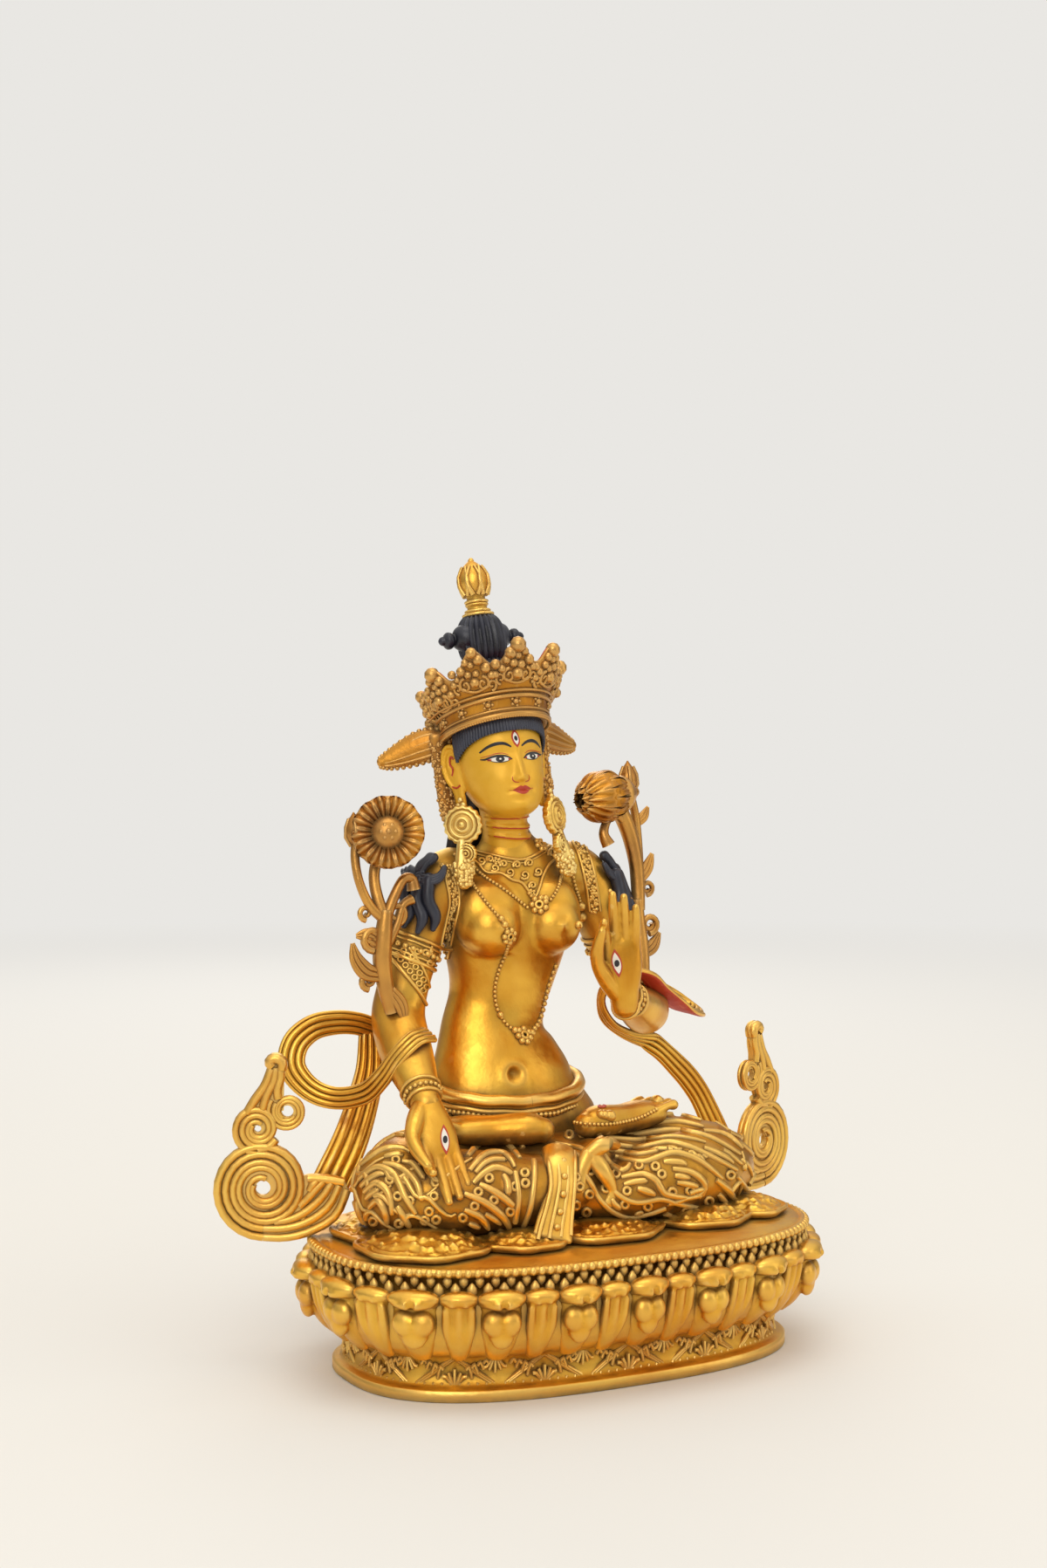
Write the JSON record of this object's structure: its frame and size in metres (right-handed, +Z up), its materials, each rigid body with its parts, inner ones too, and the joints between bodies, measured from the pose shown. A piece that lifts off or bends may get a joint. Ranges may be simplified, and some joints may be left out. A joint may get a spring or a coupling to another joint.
{
  "type": "tara figure",
  "caption": "Gilt cast-metal figure of a crowned seated deity with lotus sprays and curling scarves, on an oval lotus plinth.",
  "frame": {"origin": "centre of the plinth's underside", "axes": "+Z up, the figure faces -Y, and +X is towards its own left hand"},
  "size_m": [0.1758, 0.094, 0.2109],
  "materials": {
    "gilding": "polished gilding, brown in the hollows",
    "worn_gilding": "rubbed gilding over brown metal",
    "face_paint": "matt gold paint on the face and neck",
    "hair_paint": "matt blue-black paint",
    "red_paint": "matt red paint on the backs of ribbons and lines of the face",
    "eye_paint": "matt white paint"
  },
  "bodies": {
    "root": {"lotus_plinth": "gilding", "tara_figure": "gilding", "crown": "worn_gilding", "lotus_spray_right": "worn_gilding", "lotus_spray_left": "worn_gilding", "scarf_right": "gilding", "scarf_left": "gilding"}
  },
  "joints": []
}
